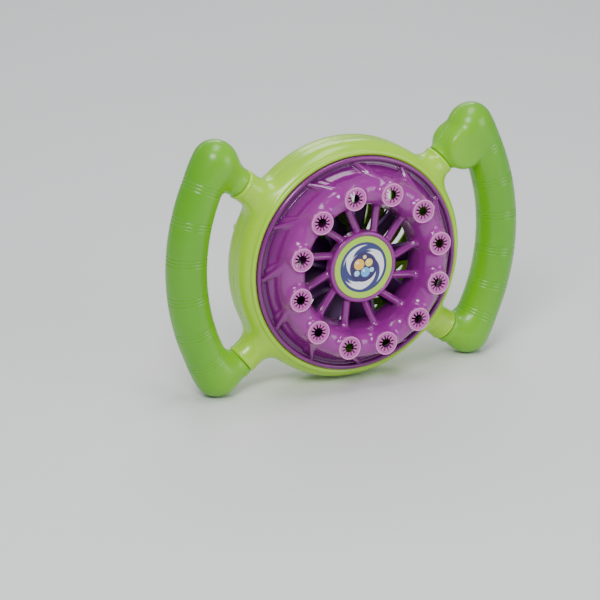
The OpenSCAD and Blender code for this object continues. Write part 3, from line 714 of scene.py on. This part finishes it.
def handle_shell_front(x, y, z, pod):
    shell = smooth_max(handle_outside(x, y, z, pod), -handle_inside(x, y, z, pod), 0.3)
    shell = smooth_max(shell, SPLIT_Z + 0.03 - z, 0.35)
    for px, py in SCREW_POSTS:
        post = upright_cylinder(x, y, z, px, py, 3.2, SPLIT_Z + 0.03, SPLIT_Z + 12.5)
        shell = np.minimum(shell, post)
        shell = np.maximum(shell, -upright_cylinder(x, y, z, px, py, 1.4, SPLIT_Z - 2, SPLIT_Z + 9))
    post = upright_cylinder(x, y, z, *DOOR_SCREW, 3.0, DOOR_POST_Z, SPLIT_Z + GRIP_R - 1)
    shell = np.minimum(shell, post)
    return np.maximum(shell, -upright_cylinder(x, y, z, *DOOR_SCREW, 1.25, -1, SPLIT_Z + 1))


def handle_shell_rear(x, y, z, pod):
    shell = smooth_max(handle_outside(x, y, z, pod), -handle_inside(x, y, z, pod), 0.3)
    for px, py in SCREW_POSTS:
        shell = np.minimum(shell, upright_cylinder(x, y, z, px, py, 4.3, SPLIT_Z - 12, SPLIT_Z))
    shell = smooth_max(shell, z - SPLIT_Z + 0.03, 0.35)
    shell = smooth_max(shell, -door_zone(x, y, z, 0.22), 0.5)
    for px, py in SCREW_POSTS:
        shell = smooth_max(
            shell, -upright_cylinder(x, y, z, px, py, SCREW_RECESS_R, -5, SCREW_RECESS_Z), 0.5
        )
        shell = np.maximum(shell, -upright_cylinder(x, y, z, px, py, 1.7, -5, 30))
    if pod:
        shell = smooth_max(shell, -upright_cylinder(x, y, z, *POD, BUTTON_HOLE_R, -5, SPLIT_Z), 0.5)
        dip = upright_cylinder(x, y, z, *POD, BUTTON_HOLE_R + 1.3, -5, SPLIT_Z - GRIP_R + 0.7)
        shell = smooth_max(shell, -dip, 0.6)
    return shell


def door_panel(x, y, z):
    panel = smooth_max(grip_tube(x, y, z) + grooves(x, y), -grip_tube(x, y, z, SHELL_T), 0.3)
    panel = smooth_max(panel, door_zone(x, y, z, -0.02), 0.5)
    boss = upright_cylinder(x, y, z, *DOOR_SCREW, 4.2, 4.6, 9.0)
    panel = np.minimum(panel, boss)
    panel = smooth_max(panel, -upright_cylinder(x, y, z, *DOOR_SCREW, 2.9, -5, 6.4), 0.4)
    return np.maximum(panel, -upright_cylinder(x, y, z, *DOOR_SCREW, 1.5, -5, 30))


def make_handles():
    step = 0.6
    x0, x1 = 50.0, 125.0
    y0, y1 = -80.5, 90.5
    for side, mirror, pod in (("left", True, False), ("right", False, True)):
        for end, field, z0, z1 in (
            ("front", handle_shell_front, DOOR_POST_Z - 1.2, SPLIT_Z + BULB_R + 1.2),
            ("rear", handle_shell_rear, SPLIT_Z - BULB_R - 1.2, SPLIT_Z + 1.2),
        ):
            lo, hi = (x0, y0, z0), (x1, y1, z1)
            points, quads = surface_net(lambda x, y, z: field(x, y, z, pod), lo, hi, step)
            name = f"{side}_handle_{end}"
            piece = make_piece(
                name + "_skin", points, quads, MATERIALS["grip"], "housing", mirror
            )
            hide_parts(name)
        lo = (GRIP_CX + GRIP_ARC_R * math.cos(DOOR_A0) - 16, -68.0, SPLIT_Z - GRIP_R - 1.2)
        points, quads = surface_net(door_panel, lo, (x1, 64.0, DOOR_Z + 1.2), step)
        name = f"{side}_battery_door"
        piece = make_piece(
            name + "_skin", points, quads, MATERIALS["grip"], f"{side}_door", mirror
        )
        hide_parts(name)


# ---------------------------------------------------------------------------
# Housing
# ---------------------------------------------------------------------------
COVER_SCREWS = [math.radians(a) for a in (20, 90, 160, 200, 270, 340)]
POST_RING_R = 70.5
SLOT_N = 22
SLOT_W = 3.6
SLOT_ARC_R = 36.0
SLOT_CENTRE_R = 30.0
GRILLE_IN_R = 24.0
GRILLE_OUT_R = 55.0


def housing_outside(x, y, z):
    """Round body with its four collars, each with a wide fillet at its root."""
    r = np.hypot(x, y)
    body = rounded_rect(r, z, 0, SPLIT_Z, RING_R - 0.03, SPLIT_Z, EDGE_R)
    for sign in (1, -1):
        along, aside = arm_coordinates(np.abs(x), y, sign)
        end = COLLAR_END + (SWITCH_COLLAR_END - COLLAR_END) * (x > 0) if sign > 0 else COLLAR_END
        away = np.hypot(aside, z - SPLIT_Z)
        collar = rounded_rect(away, along, 0, (end + DISC_R) / 2, COLLAR_R, (end - DISC_R) / 2, 1.8)
        lip = np.hypot(away - COLLAR_R + 0.75, along - end + 1.7) - 1.05
        collar = smooth_min(collar, lip, 0.8)
        body = smooth_min(body, collar, 9.0)
    return body


def housing_inside(x, y, z):
    r = np.hypot(x, y)
    hollow = rounded_rect(r, z, 0, SPLIT_Z, RING_R - WALL, SPLIT_Z - WALL, EDGE_R - WALL)
    for sign in (1, -1):
        along, aside = arm_coordinates(np.abs(x), y, sign)
        bore = np.maximum(np.hypot(aside, z - SPLIT_Z) - COLLAR_BORE_R, DISC_R - along)
        hollow = np.minimum(hollow, bore)
    return hollow


def at_posts(x, y, z, r, z0, z1, edge=0.0):
    return np.minimum.reduce([
        upright_cylinder(
            x, y, z, POST_RING_R * math.cos(a), POST_RING_R * math.sin(a), r, z0, z1, edge
        )
        for a in COVER_SCREWS
    ])


def front_ring_field(x, y, z):
    r = np.hypot(x, y)
    hollow = np.maximum(housing_inside(x, y, z), z - LEDGE_Z)
    bores = np.where(r > RING_R - WALL, housing_inside(x, y, z), hollow)
    shell = smooth_max(housing_outside(x, y, z), -np.minimum(hollow, bores), 0.3)
    shell = np.maximum(shell, -np.maximum(r - 58.5, LEDGE_Z - 0.5 - z))
    shell = smooth_max(shell, -np.maximum(r - BEZEL_R, DISC_Z - z), 0.5)
    bead = np.hypot(r - BEZEL_R - 1.45, z - RING_H + 1.5) - 1.45
    shell = smooth_min(shell, bead, 0.8)
    shell = smooth_max(shell, -(np.hypot(r - BEZEL_R - 3.9, z - RING_H - 0.05) - 0.75), 0.5)
    shell = np.minimum(shell, at_posts(x, y, z, 4.3, SPLIT_Z, LEDGE_Z))
    shell = np.maximum(shell, -at_posts(x, y, z, 1.35, SPLIT_Z - 2, SPLIT_Z + 10))
    return smooth_max(shell, SPLIT_Z + 0.03 - z, 0.35)


def slot_field(x, y):
    """Swirl slots of the rear grille, in the plane."""
    r, turn = np.hypot(x, y), np.arctan2(y, x)
    step = 2 * math.pi / SLOT_N
    # angle at which a slot's middle line crosses this radius
    inner = np.clip(
        (r * r + SLOT_CENTRE_R**2 - SLOT_ARC_R**2) / (2 * SLOT_CENTRE_R * np.maximum(r, 1.0)), -1, 1
    )
    middle = -np.arccos(inner)
    off = turn - middle
    off = off - step * np.round(off / step)
    u = r * np.cos(middle + off) - SLOT_CENTRE_R
    v = r * np.sin(middle + off)
    across = np.abs(np.hypot(u, v) - SLOT_ARC_R) - SLOT_W / 2
    along = np.maximum(r - (GRILLE_OUT_R - 0.5), GRILLE_IN_R + 1.5 - r)
    return smooth_max(across, along, 2.2)


def rear_cover_field(x, y, z):
    shell = smooth_max(housing_outside(x, y, z), -housing_inside(x, y, z), 0.3)
    shell = np.minimum(shell, at_posts(x, y, z, 4.3, WALL - 0.5, SPLIT_Z))
    shell = smooth_max(shell, -np.maximum(slot_field(x, y), z - WALL - 1.5), 0.6)
    r = np.hypot(x, y)
    groove = np.hypot(r - GRILLE_OUT_R - 2.6, z) - 0.55
    shell = smooth_max(shell, -groove, 0.4)
    groove = np.hypot(r - GRILLE_IN_R + 2.0, z) - 0.55
    shell = smooth_max(shell, -groove, 0.4)
    cradle = np.maximum(np.abs(r - 11.45) - 1.15, np.maximum(z - 12.0, WALL - 0.5 - z))
    notch = np.maximum(np.abs(y) - 2.5, z - 8.2)
    shell = np.minimum(shell, np.maximum(cradle, -notch))
    for sign in (1, -1):
        shell = np.minimum(shell, upright_cylinder(x, y, z, 0, 17 * sign, 3.0, WALL - 0.5, 12.0))
        shell = np.maximum(shell, -upright_cylinder(x, y, z, 0, 17 * sign, 1.15, WALL + 2, 14.0))
    shell = smooth_max(shell, -at_posts(x, y, z, SCREW_RECESS_R, -3.0, 9.0), 0.6)
    shell = np.maximum(shell, -at_posts(x, y, z, 1.7, -3.0, SPLIT_Z + 3))
    return smooth_max(shell, z - SPLIT_Z + 0.03, 0.35)


def make_housing():
    step = 0.6
    reach_x, reach_y = 82.0, 79.2
    lo, hi = (-reach_x, -reach_y, SPLIT_Z - 1.2), (reach_x, reach_y, RING_H + 1.2)
    points, quads = surface_net(front_ring_field, lo, hi, step)
    ring = make_piece("front_ring_skin", points, quads, MATERIALS["lime"], "housing")
    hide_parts("front_ring")
    lo, hi = (-reach_x, -reach_y, -1.2), (reach_x, reach_y, SPLIT_Z + 1.2)
    points, quads = surface_net(rear_cover_field, lo, hi, step)
    cover = make_piece(
        "rear_cover_skin", points, quads, MATERIALS["lime"], "housing"
    )
    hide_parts("rear_cover")


# ---------------------------------------------------------------------------
# Nozzle disc
# ---------------------------------------------------------------------------


def folded(x, y, offset):
    """Coordinates turned into one of the twelve equal sectors, whose middle is at offset."""
    r, turn = np.hypot(x, y), np.arctan2(y, x)
    a = turn - NOZZLE_PHASE - offset
    a = a - NOZZLE_STEP * np.round(a / NOZZLE_STEP)
    return r * np.cos(a + offset), r * np.sin(a + offset)


def segment_2d(u, v, p, q):
    """Distance in a plane to the segment from p to q."""
    d = np.subtract(q, p)
    t = np.clip(((u - p[0]) * d[0] + (v - p[1]) * d[1]) / np.dot(d, d), 0, 1)
    return np.hypot(u - p[0] - t * d[0], v - p[1] - t * d[1])


def cone_side(r, z, p, q):
    """Distance to the line through p and q in the (r, z) half plane, negative to its left."""
    d = np.subtract(q, p) / np.linalg.norm(np.subtract(q, p))
    return (r - p[0]) * d[1] - (z - p[1]) * d[0]


FLANK_FOOT = (GROOVE_R, FLANGE_Z - 0.4)
FLANK_TOP = (PITCH_R + BAND_R, BAND_Z)
BOWL_TOP = (PITCH_R - BAND_R, BAND_Z)
BOWL_FOOT = (PITCH_R - BAND_R - 3.1, DISC_Z + 1)
RIB = (math.radians(19.0), math.radians(6.0))
SPOKE = (math.radians(1.5), math.radians(-8.5))


def on_sector(angle, r, z):
    return (r * math.cos(angle), r * math.sin(angle), z)


def nozzle_disc_field(x, y, z):
    r = np.hypot(x, y)
    flank = cone_side(r, z, FLANK_FOOT, FLANK_TOP)
    bowl = -cone_side(r, z, BOWL_FOOT, BOWL_TOP)
    # shallow panels sunk into the flank between the ribs
    rib_mid = (RIB[0] + RIB[1]) / 2
    px, py = folded(x, y, rib_mid)
    rib_line = segment_2d(px, py, on_sector(RIB[0], 69.0, 0)[:2], on_sector(RIB[1], 56.0, 0)[:2])
    panel = np.maximum(3.1 - rib_line, np.maximum(r - 64.6, 59.9 - r))
    sunk = 0.9 * (1 - smooth_step(panel, -0.5, 0.45))
    crown = smooth_max(np.maximum(flank + sunk, bowl), z - BAND_Z, 1.5)
    crown = np.maximum(crown, DISC_Z - z)
    band = np.hypot(r - PITCH_R, z - BAND_Z) - BAND_R
    crown = smooth_min(crown, band, 3.0)
    nx, ny = folded(x, y, 0.0)
    tower_r, tower_top = NOZZLE_R - 0.05, FACE_Z - TIP_T
    tower = upright_cylinder(nx, ny, z, PITCH_R, 0, tower_r, BAND_Z - 8, tower_top, 0.3)
    crown = smooth_min(crown, tower, 4.5)
    rib = capsule(
        px, py, z, on_sector(RIB[0], 66.6, FLANGE_Z + 0.2), on_sector(RIB[1], 57.2, BAND_Z + 3.4),
        1.35, 1.15,
    )
    crown = smooth_min(crown, rib, 1.8)
    flange = rounded_rect(r, z, 65.0, DISC_Z + 1, 5.0 - 0.02, 1.0, 0.2)
    lip = rounded_rect(r, z, DISC_R - 1.47, DISC_Z + 2.3, 1.45, 2.3, 1.3)
    crown = smooth_min(crown, np.minimum(flange, lip), 0.5)
    # hollow under the crown
    hollow = np.maximum(np.maximum(flank + 2.0, bowl + 2.0), z - BAND_Z)
    hollow = smooth_min(hollow, band + 2.0, 1.0)
    crown = smooth_max(crown, -hollow, 0.3)
    sx, sy = folded(x, y, (SPOKE[0] + SPOKE[1]) / 2)
    start, stop = on_sector(SPOKE[0], BOWL_TOP[0] + 1.5, 0), on_sector(SPOKE[1], HUB_R - 2, 0)
    aside = segment_2d(sx, sy, start[:2], stop[:2])
    top = BAND_Z - 1.6 + 1.2 * smooth_step(r, 34, 43)
    spoke = rounded_rect(aside, z, 0, (top + 37.0) / 2, 2.35, (top - 37.0) / 2, 1.1)
    ridge = np.hypot(aside, z - top + 0.35) - 1.25
    spoke = smooth_min(spoke, ridge, 0.7)
    crown = smooth_min(crown, spoke, 2.6)
    hub = rounded_rect(r, z, 0, (HUB_Z + 36.0) / 2, HUB_R, (HUB_Z - 36.0) / 2, 1.3)
    crown = smooth_min(crown, hub, 1.4)
    crown = smooth_max(crown, -np.maximum(r - BADGE_R - 0.25, HUB_Z - 1.25 - z), 0.35)
    crown = np.maximum(crown, -np.maximum(r - BADGE_R, z - HUB_Z + 3.2))
    bore = np.maximum(np.hypot(nx - PITCH_R, ny) - 6.0, BAND_Z - z)
    return np.maximum(crown, -bore)


TIP_HOLE_R = 2.9
TIP_SLOT_R = 5.3
TIP_SLOT_W = 1.1
TIP_RIM_R = 6.7


def tip_field(x, y, z):
    """One nozzle's face: a raised rim, and a star-shaped opening that holds the soap film."""
    r, turn = np.hypot(x, y), np.arctan2(y, x)
    face = rounded_rect(r, z, 0, FACE_Z - TIP_T / 2 - 0.01, NOZZLE_R, TIP_T / 2, 0.45)
    dish = np.maximum(r - TIP_RIM_R, FACE_Z - 0.42 - z)
    face = smooth_max(face, -dish, 0.35)
    skirt = np.maximum(np.abs(r - 5.6) - 0.35, np.maximum(z - FACE_Z + 1.0, FACE_Z - TIP_T - 3 - z))
    face = np.minimum(face, skirt)
    k = math.radians(30)
    a = turn - k * np.round(turn / k)
    slot = np.maximum(np.abs(r * np.sin(a)) - TIP_SLOT_W / 2, r * np.cos(a) - TIP_SLOT_R)
    return smooth_max(face, -smooth_min(slot, r - TIP_HOLE_R, 0.3), 0.2)


def make_nozzles():
    step = 0.5
    reach = DISC_R + 1.0
    lo, hi = (-reach, -reach, DISC_Z - 1.0), (reach, reach, FACE_Z)
    points, quads = surface_net(nozzle_disc_field, lo, hi, step)
    disc = make_piece(
        "nozzle_disc_skin", points, quads, MATERIALS["disc"], "housing"
    )
    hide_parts("nozzle_disc")
    step = 0.2
    reach = NOZZLE_R + 0.6
    lo, hi = (-reach, -reach, FACE_Z - 5.2), (reach, reach, FACE_Z + 0.6)
    one, quads = surface_net(tip_field, lo, hi, step)
    points, faces = [], []
    for i in range(NOZZLE_N):
        a = NOZZLE_PHASE + i * NOZZLE_STEP
        turned = np.stack([
            one[:, 0] * math.cos(a) - one[:, 1] * math.sin(a) + PITCH_R * math.cos(a),
            one[:, 0] * math.sin(a) + one[:, 1] * math.cos(a) + PITCH_R * math.sin(a),
            one[:, 2],
        ], 1)
        points.append(turned)
        faces.append(quads + i * len(one))
    tips = make_piece(
        "nozzle_faces", np.concatenate(points), np.concatenate(faces), MATERIALS["tip"],
        "housing",
    )
    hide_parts("nozzle_tips")


# ---------------------------------------------------------------------------
# Button spring
# ---------------------------------------------------------------------------
SPRING_R = 4.0
SPRING_WIRE_R = 0.4
SPRING_Z = (7.52, 13.0)
SPRING_TURNS = 4.5


def make_spring():
    """Coil between the button's flange and the switch."""
    sides, rings = 10, 150
    turn = np.linspace(0, SPRING_TURNS * 2 * math.pi, rings)
    # the last three quarters of a turn at each end rise more slowly
    rise = smooth_step(turn, 1.5 * math.pi, turn[-1] - 1.5 * math.pi)
    rise = 0.5 * rise + 0.5 * turn / turn[-1]
    mid_z = SPRING_Z[0] + SPRING_WIRE_R + rise * (SPRING_Z[1] - SPRING_Z[0] - 2 * SPRING_WIRE_R)
    points, faces = [], []
    for k in range(sides):
        a = 2 * math.pi * k / sides
        r = SPRING_R + SPRING_WIRE_R * math.cos(a)
        height = mid_z + SPRING_WIRE_R * math.sin(a)
        points.append(np.stack([POD[0] + r * np.cos(turn), POD[1] + r * np.sin(turn), height], 1))
    points = np.stack(points, 1).reshape(-1, 3)
    for i in range(rings - 1):
        for k in range(sides):
            n = (k + 1) % sides
            faces.append([i * sides + k, (i + 1) * sides + k, (i + 1) * sides + n, i * sides + n])
    faces.append(list(range(sides)))
    faces.append([(rings - 1) * sides + k for k in reversed(range(sides))])
    coil = make_piece(
        "button_spring_coil", points, faces, MATERIALS["nickel"], "housing"
    )
    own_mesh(coil)
    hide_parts("button_spring")


make_camera()
make_stage()
dress_cad_nodes()
make_spring()
make_handles()
make_housing()
make_nozzles()
